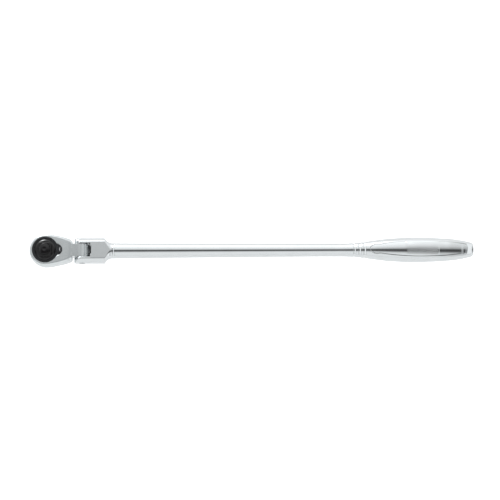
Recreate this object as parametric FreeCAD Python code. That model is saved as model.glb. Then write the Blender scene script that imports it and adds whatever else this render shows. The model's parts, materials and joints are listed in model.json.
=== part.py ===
"""Flex-head ratchet handle, 9.5 mm square drive.  Units: millimetres.

Frame: the origin is on the drive axis, at the level of the handle's axis.
+X runs along the handle, +Z towards the reversing lever, the drive square points to -Z.
"""
import FreeCAD, Part
import math
import os

Vector = FreeCAD.Vector
X_AXIS = Vector(1, 0, 0)
Y_AXIS = Vector(0, 1, 0)
Z_AXIS = Vector(0, 0, 1)

# ---- driving dimensions ------------------------------------------------------------
FIT = 0.05                    # radial clearance of every running fit

# handle
PIVOT_X = 31.0                # flex pin, along Y
YOKE_HALF_THICKNESS = 6.75    # half height of the yoke, and radius of the ear tips
YOKE_HALF_WIDTH = 10.75
YOKE_BEVEL = 3.2              # 45 degree bevel along the yoke's outer edges
SLOT_HALF_WIDTH = 6.0
SLOT_END_X = 38.35
SLOT_RELIEF_X = 39.2          # relief in the middle of the slot's end wall
SLOT_RELIEF_HALF_WIDTH = 3.5
SLOT_EDGE_CHAMFER = 0.35
YOKE_BLANK_RADIUS = 11.5
YOKE_BLEND_RADIUS = 7.5       # concave blend from the shaft to the yoke
SHAFT_START_X = 57.4
SHAFT_START_RADIUS = 6.65
SHAFT_END_X = 253.3
SHAFT_END_RADIUS = 5.65
GRIP_OUTLINE = [              # (X, radius) of the swelling grip
    (267.1, 6.30), (275.8, 7.30), (296.4, 9.85), (316.8, 10.75),
    (332.8, 10.35), (348.2, 9.45), (357.8, 8.20), (365.5, 6.45),
]
GRIP_END_SLOPE = -0.26
GRIP_END_X = 368.1
GRIP_END_FLAT_RADIUS = 4.1
GRIP_END_ARC_POINT = (367.35, 5.55)
GROOVE_FIRST_X = 265.4
GROOVE_PITCH = 4.3
GROOVE_COUNT = 3
GROOVE_DEPTH = 0.4
GROOVE_RADIUS = 1.0
PANEL_TIP_X = 279.1           # long lens-shaped recess on the grip's upper side
PANEL_TIP_HALF = 2.3
PANEL_WIDEST_X = 325.8
PANEL_HALF_WIDTH = 6.7
PANEL_END_X = 362.4
PANEL_END_HALF = 3.4
PANEL_DEPTH = 0.45
PANEL_FLATTEN = 1.5           # how far below the handle's axis the panel floor is centred

# flex joint
TANG_RADIUS = 5.9
TANG_HALF_WIDTH = 5.5
DETENT_STEP_DEG = 15
DETENT_RADIUS = 1.2
DETENT_DEPTH = 0.2
SCREW_RADIUS = 2.5
SCREW_HEAD_RADIUS = 3.2
SCREW_HEAD_SEAT_Y = 9.55
SCREW_HEAD_TOP_Y = 11.3
SCREW_END_Y = -9.9
SCREW_HEX_ACROSS = 2.5
WASHER_INNER_RADIUS = 2.6
WASHER_OUTER_RADIUS = 4.6
WASHER_THICKNESS = 0.4
PLUNGER_RADIUS = 1.9
PLUNGER_TIP_X = 37.05
PLUNGER_END_X = 42.8
PLUNGER_CUP_X = 39.4
PLUNGER_CUP_RADIUS = 1.4
PLUNGER_BORE_END_X = 49.8
PLUNGER_TIP_CHAMFER = 0.7
FLEX_SPRING_RADIUS = 1.05
FLEX_SPRING_WIRE = 0.22
FLEX_SPRING_TURNS = 9

# head housing
HEAD_RADIUS = 14.0
HEAD_TOP_RADIUS = 12.6        # the flat top, inside the sloping shoulder
HEAD_BOTTOM_Z = -4.2
HEAD_SHOULDER_Z = 5.6
HEAD_TOP_Z = 8.6
HEAD_REAR_X = 22.9
HEAD_SIDE = [(9.5, 12.75), (16.4, 11.2), (20.5, 9.8), (22.9, 8.95)]
HEAD_TOP_SIDE = [(9.5, 11.3), (16.4, 9.1), (20.5, 6.9), (22.9, 5.6)]
HEAD_TOP_REAR_Z = 7.25         # the top has fallen to this at the rear
HEAD_BOTTOM_FILLET = 1.2
NECK_START_X = 19.0
NECK_STEP_TOP_Z = 7.0          # shallow hollow from the head down to the tang
NECK_STEP_SAG = 0.3
NECK_VALLEY_SETBACK = 1.0      # from the flex pin to where the hollow meets the tang
CHAMBER_FLOOR_Z = -1.4
COVER_SEAT_Z = 5.2
COVER_TOP_Z = 7.2
COVER_RADIUS = 11.08
COVER_LOBE_X = 9.11
COVER_LOBE_RADIUS = 5.34
COVER_PLAY = 0.04
COVER_RIM_CHAMFER = 0.2
PAWL_POCKET_RADIUS = 10.7
PAWL_POCKET_LOBE_RADIUS = 4.9
PAWL_POCKET_START_X = 4.6
GEAR_CHAMBER_RADIUS = 8.4
RING_TOP_Z = 8.0
RING_INNER_RADIUS = 9.9
RING_OUTER_RADIUS = 11.6
RING_GROOVE_RADIUS = 11.7
RING_GAP_HALF_DEG = 36
RING_LUG_RADIUS = 0.95
RING_LUG_HOLE_RADIUS = 0.45

# drive gear and spinner
TOOTH_COUNT = 72
GEAR_TIP_RADIUS = 7.9
GEAR_ROOT_RADIUS = 7.45
GEAR_BOTTOM_Z = -1.2
GEAR_TOP_Z = 4.6
LOWER_JOURNAL_RADIUS = 7.0
UPPER_JOURNAL_RADIUS = 6.5
GEAR_FACE_Z = -4.6            # the shoulder that a socket's end meets
SQUARE_ACROSS = 9.525         # 3/8 inch drive square
SQUARE_END_Z = -15.6
SQUARE_CORNER = 0.9
SQUARE_TIP_CHAMFER = 0.8
NECK_BOTTOM_Z = 7.3
NECK_TOP_Z = 9.4
NECK_RADIUS = 4.0
SPRING_WELL_RADIUS = 3.2
SPRING_WELL_Z = 0.8
SPINNER_RADIUS = 9.0
SPINNER_BOTTOM_Z = 7.4
SPINNER_TOP_Z = 8.9
SPINNER_BEVEL_WIDTH = 1.4
SPINNER_BEVEL_HEIGHT = 0.9
HUB_ACROSS = 11.7
HUB_CORNER = 2.3
HUB_TOP_Z = 12.0
HUB_TOP_CHAMFER = 0.6
HUB_FLOOR_Z = 8.6
HUB_WELL_RADIUS = 4.9
CLIP_GROOVE_RADIUS = 3.6
CLIP_BOTTOM_Z = 8.7
CLIP_TOP_Z = 9.2
CLIP_OUTER_RADIUS = 4.6

# quick release
ROD_RADIUS = 2.1
ROD_BOTTOM_Z = -11.4
ROD_TOP_Z = 12.2
ROD_WAIST_RADIUS = 1.45
ROD_WAIST = [(-10.6, ROD_RADIUS), (-8.9, ROD_WAIST_RADIUS), (-7.4, ROD_WAIST_RADIUS), (-6.8, ROD_RADIUS)]
ROD_BORE_END_Z = -13.6
BALL_RADIUS = 1.5
BALL_Z = -10.2
BALL_STAND_OUT = 0.45
BUTTON_RADIUS = 4.75
BUTTON_BOTTOM_Z = 11.3
BUTTON_EDGE_Z = 12.9
BUTTON_TOP_Z = 13.6
BUTTON_DIMPLE_RADIUS = 4.2
BUTTON_DIMPLE_DEPTH = 0.3
RELEASE_SPRING_RADIUS = 2.65
RELEASE_SPRING_WIRE = 0.3
RELEASE_SPRING_TURNS = 7

# reversing lever and pawl
LEVER_X = 11.5
LEVER_SHAFT_RADIUS = 1.2
LEVER_BOSS_RADIUS = 2.15
LEVER_BOTTOM_Z = 7.35
LEVER_BOSS_Z = 8.5
LEVER_TAB_Z = 10.3
LEVER_TAB_REACH = 2.8
LEVER_TAB_FACE_RADIUS = 3.4
LEVER_TAB_FACE_X = 12.4
LEVER_SHAFT_END_Z = -4.0
LEVER_CLIP_SEAT_Z = -3.0
LEVER_CLIP_WELL_RADIUS = 2.45
LEVER_CLIP_Z = (-3.6, -3.1)
LEVER_CLIP_RADIUS = 2.2
LEVER_CLIP_GROOVE_RADIUS = 0.9
SELECTOR_Z = 1.6
SELECTOR_RADIUS = 0.5
SELECTOR_REACH = 1.65
SELECTOR_END = 0.75
SELECTOR_TIP_CHAMFER = 0.25
SELECTOR_BORE_END = -0.7
PAWL_SWING_DEG = 6.0          # each way from the middle
PAWL_INNER_RADIUS = 8.2
PAWL_OUTER_RADIUS = 9.7
PAWL_HALF_DEG = 38
PAWL_HUB_RADIUS = 2.3
PAWL_BOTTOM_Z = -1.2
PAWL_TOP_Z = 4.4
PAWL_WINDOW_RADIUS = 2.1
PAWL_WINDOW_HALF_DEG = 55
PAWL_WINDOW_Z = (0.7, 2.5)
PAWL_TOOTH_PLAY = 0.06

FAR = 60.0                    # larger than any section that is cut
WIRE_SIDES = 12               # flats round a spring's wire


# ---- small helpers -----------------------------------------------------------------
def cylinder(radius, low_z, high_z, x=0.0, y=0.0):
    return Part.makeCylinder(radius, high_z - low_z, Vector(x, y, low_z))


def cylinder_along_x(radius, low_x, high_x, z=0.0):
    return Part.makeCylinder(radius, high_x - low_x, Vector(low_x, 0, z), X_AXIS)


def cylinder_along_y(radius, low_y, high_y, x, z=0.0):
    return Part.makeCylinder(radius, high_y - low_y, Vector(x, low_y, z), Y_AXIS)


def box(low_x, high_x, half_y, low_z, high_z):
    return Part.makeBox(high_x - low_x, 2 * half_y, high_z - low_z, Vector(low_x, -half_y, low_z))


def ring(inner, outer, low_z, high_z, x=0.0):
    return cylinder(outer, low_z, high_z, x).cut(cylinder(inner, low_z - 1, high_z + 1, x))


def sector(radius, half_deg, low_z, high_z, x=0.0, towards_minus_x=False):
    """Wedge of a disc, centred on the X direction."""
    start = 180 - half_deg if towards_minus_x else -half_deg
    wedge = Part.makeCylinder(radius, high_z - low_z, Vector(x, 0, low_z), Z_AXIS, 2 * half_deg)
    wedge.rotate(Vector(x, 0, 0), Z_AXIS, start)
    return wedge


def prism(points, height, low_z):
    """Closed polygon in the XY plane, raised by height."""
    corners = [Vector(x, y, low_z) for x, y in points]
    face = Part.Face(Part.makePolygon(corners + corners[:1]))
    return face.extrude(Vector(0, 0, height))


def revolve_about_x(profile, z=0.0):
    """Edges that start and end on the axis, turned about the line y = 0 at the given z."""
    wire = Part.Wire(profile)
    start = wire.OrderedVertexes[0].Point
    end = wire.OrderedVertexes[-1].Point
    closed = Part.Wire(list(wire.OrderedEdges) + [Part.makeLine(end, start)])
    return Part.Face(closed).revolve(Vector(0, 0, z), X_AXIS, 360)


def revolve_about_z(points, x=0.0):
    """Polygon of (radius, z) points, turned about a line parallel to Z."""
    corners = [Vector(x + r, 0, z) for r, z in points]
    face = Part.Face(Part.makePolygon(corners + corners[:1]))
    return face.revolve(Vector(x, 0, 0), Z_AXIS, 360)


def smooth_edge(points, start_tangent=None, end_tangent=None):
    curve = Part.BSplineCurve()
    if start_tangent is None:
        curve.interpolate(points)
    else:
        curve.interpolate(Points=points, InitialTangent=start_tangent, FinalTangent=end_tangent)
    return curve.toShape()


def coil_spring(mean_radius, wire_radius, turns, length):
    """Helical spring along +Z from z = 0, of many-sided wire, standing inside its length."""
    rise = length - 2 * wire_radius
    helix = Part.makeHelix(rise / turns, rise, mean_radius)
    corners = []
    for side in range(WIRE_SIDES):
        angle = 2 * math.pi * side / WIRE_SIDES
        corners.append(Vector(mean_radius + wire_radius * math.cos(angle), 0, wire_radius * math.sin(angle)))
    section = Part.makePolygon(corners + corners[:1])
    spring = Part.Wire(helix.Edges).makePipeShell([section], True, True)
    spring.translate(Vector(0, 0, wire_radius))
    return spring


def aim_along_x(shape, x, z=0.0):
    """Turn a shape built along +Z so that it runs along +X from the given point."""
    shape.rotate(Vector(0, 0, 0), Y_AXIS, 90)
    shape.translate(Vector(x, 0, z))
    return shape


def edges_where(shape, test):
    return [edge for edge in shape.Edges if test(edge)]


def keyhole(play, low_z, high_z):
    """The cover's outline, a circle with a round lobe, as a solid."""
    circle = cylinder(COVER_RADIUS + play, low_z, high_z)
    lobe = cylinder(COVER_LOBE_RADIUS + play, low_z, high_z, COVER_LOBE_X)
    return circle.fuse(lobe).removeSplitter()


# ---- handle ------------------------------------------------------------------------
def grip_points(offset=0.0):
    return [Vector(x, 0, radius + offset) for x, radius in GRIP_OUTLINE]


def shaft_profile(offset=0.0):
    """Outline of shaft and grip, from the yoke end to the grip's end face."""
    start = Vector(SHAFT_START_X, 0, SHAFT_START_RADIUS + offset)
    middle = Vector(150.0, 0, 6.0 + offset)
    waist = Vector(SHAFT_END_X, 0, SHAFT_END_RADIUS + offset)
    taper = smooth_edge([start, middle, waist], Vector(1, 0, -0.008), X_AXIS)
    swell = smooth_edge([waist] + grip_points(offset), X_AXIS, Vector(1, 0, GRIP_END_SLOPE))
    return taper, swell


def grip_end(offset=0.0):
    last_x, last_radius = GRIP_OUTLINE[-1]
    arc_x, arc_radius = GRIP_END_ARC_POINT
    rim = Part.Arc(
        Vector(last_x, 0, last_radius + offset),
        Vector(arc_x, 0, arc_radius + offset),
        Vector(GRIP_END_X, 0, GRIP_END_FLAT_RADIUS + offset),
    ).toShape()
    return rim


def yoke_blank_profile():
    """Turned blank of the yoke, with the concave blend down to the shaft."""
    rise = YOKE_BLANK_RADIUS - SHAFT_START_RADIUS
    reach = math.sqrt(YOKE_BLEND_RADIUS**2 - (YOKE_BLEND_RADIUS - rise) ** 2)
    blend_start = Vector(SHAFT_START_X - reach, 0, YOKE_BLANK_RADIUS)
    half_angle = math.asin(reach / YOKE_BLEND_RADIUS) / 2
    centre_radius = SHAFT_START_RADIUS + YOKE_BLEND_RADIUS
    blend_middle = Vector(
        SHAFT_START_X - YOKE_BLEND_RADIUS * math.sin(half_angle),
        0,
        centre_radius - YOKE_BLEND_RADIUS * math.cos(half_angle),
    )
    blend_end = Vector(SHAFT_START_X, 0, SHAFT_START_RADIUS)
    front_x = PIVOT_X - YOKE_HALF_THICKNESS - 1
    return [
        Part.makeLine(Vector(front_x, 0, 0), Vector(front_x, 0, YOKE_BLANK_RADIUS)),
        Part.makeLine(Vector(front_x, 0, YOKE_BLANK_RADIUS), blend_start),
        Part.Arc(blend_start, blend_middle, blend_end).toShape(),
        Part.makeLine(blend_end, Vector(SHAFT_START_X, 0, 0)),
    ]


def yoke_prism():
    """Bevelled bar that the yoke's flats are milled to, with rounded ear tips."""
    flat_half = YOKE_HALF_WIDTH - YOKE_BEVEL
    side_half = YOKE_HALF_THICKNESS - YOKE_BEVEL
    quarter = [(YOKE_HALF_WIDTH, side_half), (flat_half, YOKE_HALF_THICKNESS)]
    upper = quarter + [(-y, z) for y, z in reversed(quarter)]
    outline = upper + [(-y, -z) for y, z in upper]
    corners = [Vector(PIVOT_X - YOKE_HALF_THICKNESS - 0.5, y, z) for y, z in outline]
    bar = Part.Face(Part.makePolygon(corners + corners[:1])).extrude(Vector(FAR, 0, 0))
    ear_end = cylinder_along_y(YOKE_HALF_THICKNESS, -FAR, FAR, PIVOT_X)
    behind_pivot = box(PIVOT_X, PIVOT_X + 2 * FAR, FAR, -FAR, FAR)
    return bar.common(ear_end.fuse(behind_pivot))


def panel_outline():
    """Lens-shaped outline of the grip's panel, pointed at the shaft end."""
    tip_high = Vector(PANEL_TIP_X + 1.2, PANEL_TIP_HALF, 0)
    tip_low = Vector(PANEL_TIP_X + 1.2, -PANEL_TIP_HALF, 0)
    wide_high = Vector(PANEL_WIDEST_X, PANEL_HALF_WIDTH, 0)
    wide_low = Vector(PANEL_WIDEST_X, -PANEL_HALF_WIDTH, 0)
    end_high = Vector(PANEL_END_X - 0.8, PANEL_END_HALF, 0)
    end_low = Vector(PANEL_END_X - 0.8, -PANEL_END_HALF, 0)
    upper = smooth_edge([tip_high, Vector(300.0, 5.35, 0), wide_high, Vector(349.0, 5.5, 0), end_high])
    lower = smooth_edge([end_low, Vector(349.0, -5.5, 0), wide_low, Vector(300.0, -5.35, 0), tip_low])
    end_arc = Part.Arc(end_high, Vector(PANEL_END_X, 0, 0), end_low).toShape()
    tip_arc = Part.Arc(tip_low, Vector(PANEL_TIP_X - 0.4, 0, 0), tip_high).toShape()
    return Part.Wire([upper, end_arc, lower, tip_arc])


def panel_cutter():
    """What is milled away above the panel's flattened floor."""
    column = Part.Face(panel_outline()).extrude(Vector(0, 0, FAR))
    taper, swell = shaft_profile(PANEL_FLATTEN - PANEL_DEPTH)
    rim = grip_end(PANEL_FLATTEN - PANEL_DEPTH)
    swell.translate(Vector(0, 0, -PANEL_FLATTEN))
    rim.translate(Vector(0, 0, -PANEL_FLATTEN))
    floor_start = Vector(SHAFT_END_X, 0, SHAFT_END_RADIUS - PANEL_DEPTH)
    floor_end = Vector(GRIP_END_X, 0, GRIP_END_FLAT_RADIUS - PANEL_DEPTH)
    profile = [
        Part.makeLine(Vector(SHAFT_END_X, 0, -PANEL_FLATTEN), floor_start),
        swell,
        rim,
        Part.makeLine(floor_end, Vector(GRIP_END_X, 0, -PANEL_FLATTEN)),
    ]
    return column.cut(revolve_about_x(profile, -PANEL_FLATTEN))


def grip_radius(x):
    """Grip radius between its outline points, by straight interpolation."""
    outline = [(SHAFT_END_X, SHAFT_END_RADIUS)] + GRIP_OUTLINE
    for (low_x, low_radius), (high_x, high_radius) in zip(outline, outline[1:]):
        if low_x <= x <= high_x:
            return low_radius + (high_radius - low_radius) * (x - low_x) / (high_x - low_x)
    raise ValueError("x is off the grip")


def handle_shank():
    """Yoke, shaft and grip in one forging."""
    taper, swell = shaft_profile()
    profile = [
        Part.makeLine(Vector(SHAFT_START_X, 0, 0), Vector(SHAFT_START_X, 0, SHAFT_START_RADIUS)),
        taper,
        swell,
        grip_end(),
        Part.makeLine(Vector(GRIP_END_X, 0, GRIP_END_FLAT_RADIUS), Vector(GRIP_END_X, 0, 0)),
    ]
    bar = revolve_about_x(profile)
    for index in range(GROOVE_COUNT):
        groove_x = GROOVE_FIRST_X + index * GROOVE_PITCH
        major = grip_radius(groove_x) + GROOVE_RADIUS - GROOVE_DEPTH
        bar = bar.cut(Part.makeTorus(major, GROOVE_RADIUS, Vector(groove_x, 0, 0), X_AXIS))
    bar = bar.cut(panel_cutter())

    yoke = revolve_about_x(yoke_blank_profile()).common(yoke_prism())
    yoke = yoke.cut(box(0, SLOT_END_X, SLOT_HALF_WIDTH, -FAR, FAR))
    yoke = yoke.cut(box(SLOT_END_X - 1, SLOT_RELIEF_X, SLOT_RELIEF_HALF_WIDTH, -FAR, FAR))
    yoke = chamfer_slot_edges(yoke)

    pin_hole = cylinder_along_y(SCREW_RADIUS + FIT, 0, FAR, PIVOT_X)
    thread_hole = cylinder_along_y(SCREW_RADIUS, -FAR, 0, PIVOT_X)
    head_seat = cylinder_along_y(SCREW_HEAD_RADIUS + FIT, SCREW_HEAD_SEAT_Y, FAR, PIVOT_X)
    plunger_bore = cylinder_along_x(PLUNGER_RADIUS + FIT, SLOT_END_X - 1, PLUNGER_BORE_END_X)
    for hole in (pin_hole, thread_hole, head_seat, plunger_bore):
        yoke = yoke.cut(hole)
    return yoke.fuse(bar).removeSplitter()


def chamfer_slot_edges(yoke):
    """Break the slot's long edges, above and below."""

    def on_slot_rim(edge):
        middle = edge.valueAt((edge.FirstParameter + edge.LastParameter) / 2)
        high = abs(abs(middle.z) - YOKE_HALF_THICKNESS) < 0.01
        along_side = abs(abs(middle.y) - SLOT_HALF_WIDTH) < 0.01
        at_end = SLOT_END_X - 0.01 < middle.x < SLOT_RELIEF_X + 0.01 and abs(middle.y) < SLOT_HALF_WIDTH
        return high and (along_side or at_end)

    return yoke.makeChamfer(SLOT_EDGE_CHAMFER, edges_where(yoke, on_slot_rim))


def pivot_screw():
    """Shouldered flex screw with a low domed head and a hexagon socket in its end."""
    shank = cylinder_along_y(SCREW_RADIUS, SCREW_END_Y, SCREW_HEAD_SEAT_Y + 0.2, PIVOT_X)
    head = cylinder_along_y(SCREW_HEAD_RADIUS, SCREW_HEAD_SEAT_Y + 0.02, SCREW_HEAD_TOP_Y, PIVOT_X)
    dome_rise = 0.6
    dome_radius = (SCREW_HEAD_RADIUS**2 + dome_rise**2) / (2 * dome_rise)
    dome = Part.makeSphere(dome_radius, Vector(PIVOT_X, SCREW_HEAD_TOP_Y - dome_radius, 0))
    corner = SCREW_HEX_ACROSS / math.sqrt(3)
    hexagon = [
        Vector(
            PIVOT_X + corner * math.cos(math.radians(60 * k)),
            SCREW_END_Y - 1,
            corner * math.sin(math.radians(60 * k)),
        )
        for k in range(6)
    ]
    socket = Part.Face(Part.makePolygon(hexagon + hexagon[:1])).extrude(Vector(0, 2.6, 0))
    return shank.fuse(head.common(dome)).removeSplitter().cut(socket)


def pivot_washers():
    """Friction washers between the tang and the two ears."""
    washers = []
    for side in (-1, 1):
        middle_y = side * (TANG_HALF_WIDTH + SLOT_HALF_WIDTH) / 2
        low_y = middle_y - WASHER_THICKNESS / 2
        high_y = middle_y + WASHER_THICKNESS / 2
        disc = cylinder_along_y(WASHER_OUTER_RADIUS, low_y, high_y, PIVOT_X)
        washers.append(disc.cut(cylinder_along_y(WASHER_INNER_RADIUS, -FAR, FAR, PIVOT_X)))
    return Part.makeCompound(washers)


def flex_detent_plunger():
    body = cylinder_along_x(PLUNGER_RADIUS, PLUNGER_TIP_X, PLUNGER_END_X)
    tip_edge = edges_where(body, lambda edge: abs(edge.BoundBox.XMax - PLUNGER_TIP_X) < 0.01)
    body = body.makeChamfer(PLUNGER_TIP_CHAMFER, tip_edge)
    return body.cut(cylinder_along_x(PLUNGER_CUP_RADIUS, PLUNGER_CUP_X, PLUNGER_END_X + 1))


def flex_detent_spring():
    length = PLUNGER_BORE_END_X - PLUNGER_CUP_X
    spring = coil_spring(FLEX_SPRING_RADIUS, FLEX_SPRING_WIRE, FLEX_SPRING_TURNS, length)
    return aim_along_x(spring, PLUNGER_CUP_X)


# ---- head --------------------------------------------------------------------------
def head_outline(front_radius, side, z):
    """Pear-shaped outline: round front, sides drawn in towards the neck."""
    start = Vector(0, front_radius, z)
    left = [start] + [Vector(x, half, z) for x, half in side]
    last = left[-1]
    end_tangent = Vector(1, -0.45, 0)
    left_edge = smooth_edge(left, X_AXIS, end_tangent)
    right = [Vector(p.x, -p.y, z) for p in left]
    right_edge = smooth_edge(right, X_AXIS, Vector(1, 0.45, 0))
    front = Part.Arc(start, Vector(-front_radius, 0, z), right[0]).toShape()
    rear = Part.makeLine(last, right[-1])
    return Part.Wire([front, right_edge, rear, left_edge])


def head_body():
    """Outer form: straight sides, then a shoulder sloping in to the flat top."""
    low = head_outline(HEAD_RADIUS, HEAD_SIDE, HEAD_BOTTOM_Z)
    base = Part.Face(low).extrude(Vector(0, 0, HEAD_SHOULDER_Z - HEAD_BOTTOM_Z))
    bottom_edges = edges_where(
        base,
        lambda edge: edge.BoundBox.ZMax < HEAD_BOTTOM_Z + 0.01 and edge.BoundBox.XMin < HEAD_REAR_X - 1,
    )
    base = base.makeFillet(HEAD_BOTTOM_FILLET, bottom_edges)
    shoulder_outline = head_outline(HEAD_RADIUS, HEAD_SIDE, HEAD_SHOULDER_Z)
    top_outline = head_outline(HEAD_TOP_RADIUS, HEAD_TOP_SIDE, HEAD_TOP_Z)
    shoulder = Part.makeLoft([shoulder_outline, top_outline], True, True)
    return base.fuse(shoulder).removeSplitter()


def neck_and_tang():
    """Neck behind the head and the round tang that fits between the ears."""
    valley_x = PIVOT_X - NECK_VALLEY_SETBACK
    valley_z = math.sqrt(TANG_RADIUS**2 - NECK_VALLEY_SETBACK**2)
    under_x = PIVOT_X - math.sqrt(TANG_RADIUS**2 - HEAD_BOTTOM_Z**2)
    step_top = Vector(HEAD_REAR_X + 0.3, -TANG_HALF_WIDTH, NECK_STEP_TOP_Z)
    valley = Vector(valley_x, -TANG_HALF_WIDTH, valley_z)
    middle = (step_top + valley) * 0.5 - Vector(0, 0, NECK_STEP_SAG)
    step = Part.Arc(step_top, middle, valley).toShape()
    corners = [
        valley,
        Vector(PIVOT_X, -TANG_HALF_WIDTH, 0),
        Vector(under_x, -TANG_HALF_WIDTH, HEAD_BOTTOM_Z),
        Vector(NECK_START_X, -TANG_HALF_WIDTH, HEAD_BOTTOM_Z),
        Vector(NECK_START_X, -TANG_HALF_WIDTH, NECK_STEP_TOP_Z),
        step_top,
    ]
    outline = Part.Wire([step] + Part.makePolygon(corners).Edges)
    neck = Part.Face(outline).extrude(Vector(0, 2 * TANG_HALF_WIDTH, 0))
    tang = cylinder_along_y(TANG_RADIUS, -TANG_HALF_WIDTH, TANG_HALF_WIDTH, PIVOT_X)
    return neck.fuse(tang)


def top_trim():
    """Long gentle fall of the head's top towards the neck."""
    start = Vector(13.0, -FAR, HEAD_TOP_Z)
    end = Vector(HEAD_REAR_X + 0.5, -FAR, HEAD_TOP_REAR_Z - 0.05)
    fall = Part.Arc(start, Vector(18.2, -FAR, HEAD_TOP_Z - 0.38), end).toShape()
    corners = [end, Vector(end.x, -FAR, FAR), Vector(start.x, -FAR, FAR), start]
    outline = Part.Wire([fall] + Part.makePolygon(corners).Edges)
    return Part.Face(outline).extrude(Vector(0, 2 * FAR, 0))


def chamber():
    """Everything hollow inside the head, and its openings above and below."""
    gear_room = cylinder(GEAR_CHAMBER_RADIUS, CHAMBER_FLOOR_Z, COVER_SEAT_Z + 1)
    pocket = cylinder(PAWL_POCKET_RADIUS, CHAMBER_FLOOR_Z, COVER_SEAT_Z + 1)
    pocket = pocket.common(box(PAWL_POCKET_START_X, FAR, FAR, -FAR, FAR))
    lobe = cylinder(PAWL_POCKET_LOBE_RADIUS, CHAMBER_FLOOR_Z, COVER_SEAT_Z + 1, COVER_LOBE_X)
    cover_recess = keyhole(COVER_PLAY, COVER_SEAT_Z, FAR)
    ring_groove = cylinder(RING_GROOVE_RADIUS, COVER_TOP_Z, RING_TOP_Z + 0.05)
    journal_bore = cylinder(LOWER_JOURNAL_RADIUS + FIT, -FAR, 0)
    seal_groove = ring(LOWER_JOURNAL_RADIUS - 1, 8.05, -3.3, -2.3)
    lever_bore = cylinder(LEVER_SHAFT_RADIUS + FIT, -FAR, 0, LEVER_X)
    clip_well = cylinder(LEVER_CLIP_WELL_RADIUS, -FAR, LEVER_CLIP_SEAT_Z, LEVER_X)
    return [gear_room, pocket, lobe, cover_recess, ring_groove, journal_bore, seal_groove, lever_bore, clip_well]


def head_housing():
    """Forged head with its tang."""
    body = head_body().cut(top_trim())
    body = body.fuse(neck_and_tang())
    body = body.removeSplitter()
    for hollow in chamber():
        body = body.cut(hollow)
    rim = keyhole(COVER_PLAY, HEAD_TOP_Z - COVER_RIM_CHAMFER, HEAD_TOP_Z - COVER_RIM_CHAMFER + 0.01)
    body = body.cut(rim_chamfer(rim))
    body = body.cut(cylinder_along_y(SCREW_RADIUS + FIT, -FAR, FAR, PIVOT_X))
    detent_distance = TANG_RADIUS + DETENT_RADIUS - DETENT_DEPTH
    for step in range(-7, 8):
        angle = math.radians(step * DETENT_STEP_DEG)
        notch_x = PIVOT_X + detent_distance * math.cos(angle)
        notch_z = detent_distance * math.sin(angle)
        body = body.cut(cylinder_along_y(DETENT_RADIUS, -FAR, FAR, notch_x, notch_z))
    return body


def rim_chamfer(rim):
    """Bevel that leads into the cover recess: a cone for the circle and one for the lobe."""
    cones = []
    for radius, x in ((COVER_RADIUS, 0), (COVER_LOBE_RADIUS, COVER_LOBE_X)):
        low = radius + COVER_PLAY
        base = Vector(x, 0, HEAD_TOP_Z - COVER_RIM_CHAMFER)
        cones.append(Part.makeCone(low, low + COVER_RIM_CHAMFER, COVER_RIM_CHAMFER, base, Z_AXIS))
    return cones[0].fuse(cones[1]).fuse(rim)


def cover_plate():
    """Keyhole-shaped cover that carries the upper journal and the lever shaft."""
    plate = keyhole(0.0, COVER_SEAT_Z, COVER_TOP_Z)
    plate = plate.cut(cylinder(UPPER_JOURNAL_RADIUS + FIT, -FAR, FAR))
    plate = plate.cut(cylinder(LEVER_SHAFT_RADIUS + FIT, -FAR, FAR, LEVER_X))
    return plate.cut(ring(LEVER_SHAFT_RADIUS - 0.5, 1.95, 5.85, 6.65, LEVER_X))


def cover_retaining_ring():
    """Internal snap ring with two plier lugs, open over the lobe."""
    band = ring(RING_INNER_RADIUS, RING_OUTER_RADIUS, COVER_TOP_Z, RING_TOP_Z)
    band = band.cut(sector(FAR, RING_GAP_HALF_DEG, COVER_TOP_Z - 1, RING_TOP_Z + 1))
    lug_circle = (RING_INNER_RADIUS + RING_OUTER_RADIUS) / 2 - 0.1
    for side in (-1, 1):
        angle = math.radians(side * (RING_GAP_HALF_DEG + 3))
        x = lug_circle * math.cos(angle)
        y = lug_circle * math.sin(angle)
        band = band.fuse(cylinder(RING_LUG_RADIUS, COVER_TOP_Z, RING_TOP_Z, x, y))
        band = band.cut(cylinder(RING_LUG_HOLE_RADIUS, COVER_TOP_Z - 1, RING_TOP_Z + 1, x, y))
    return band.removeSplitter()


def gear_cone_washer():
    """Conical spring washer that takes up the gear's end play."""
    return revolve_about_z([(6.75, 4.93), (7.75, 4.68), (7.75, 4.88), (6.75, 5.13)])


def seal(groove_inner, wire_radius, z, x=0.0):
    return Part.makeTorus(groove_inner + wire_radius, wire_radius, Vector(x, 0, z), Z_AXIS)


def drive_seal():
    return seal(LOWER_JOURNAL_RADIUS + FIT, 0.47, -2.8)


def lever_seal():
    return seal(LEVER_SHAFT_RADIUS + FIT, 0.33, 6.25, LEVER_X)


# ---- drive -------------------------------------------------------------------------
def toothed_disc(tip_radius, root_radius, low_z, high_z):
    points = []
    step = 2 * math.pi / TOOTH_COUNT
    for tooth in range(TOOTH_COUNT):
        for radius, shift in ((tip_radius, 0.0), (root_radius, 0.5)):
            angle = (tooth + shift) * step
            points.append((radius * math.cos(angle), radius * math.sin(angle)))
    return prism(points, high_z - low_z, low_z)


def drive_square():
    half = SQUARE_ACROSS / 2
    square = box(-half, half, half, SQUARE_END_Z, GEAR_FACE_Z + 1)
    upright = edges_where(square, lambda edge: edge.BoundBox.ZLength > 1)
    square = square.makeFillet(SQUARE_CORNER, upright)
    tip = edges_where(square, lambda edge: edge.BoundBox.ZMax < SQUARE_END_Z + 0.01)
    return square.makeChamfer(SQUARE_TIP_CHAMFER, tip)


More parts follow.
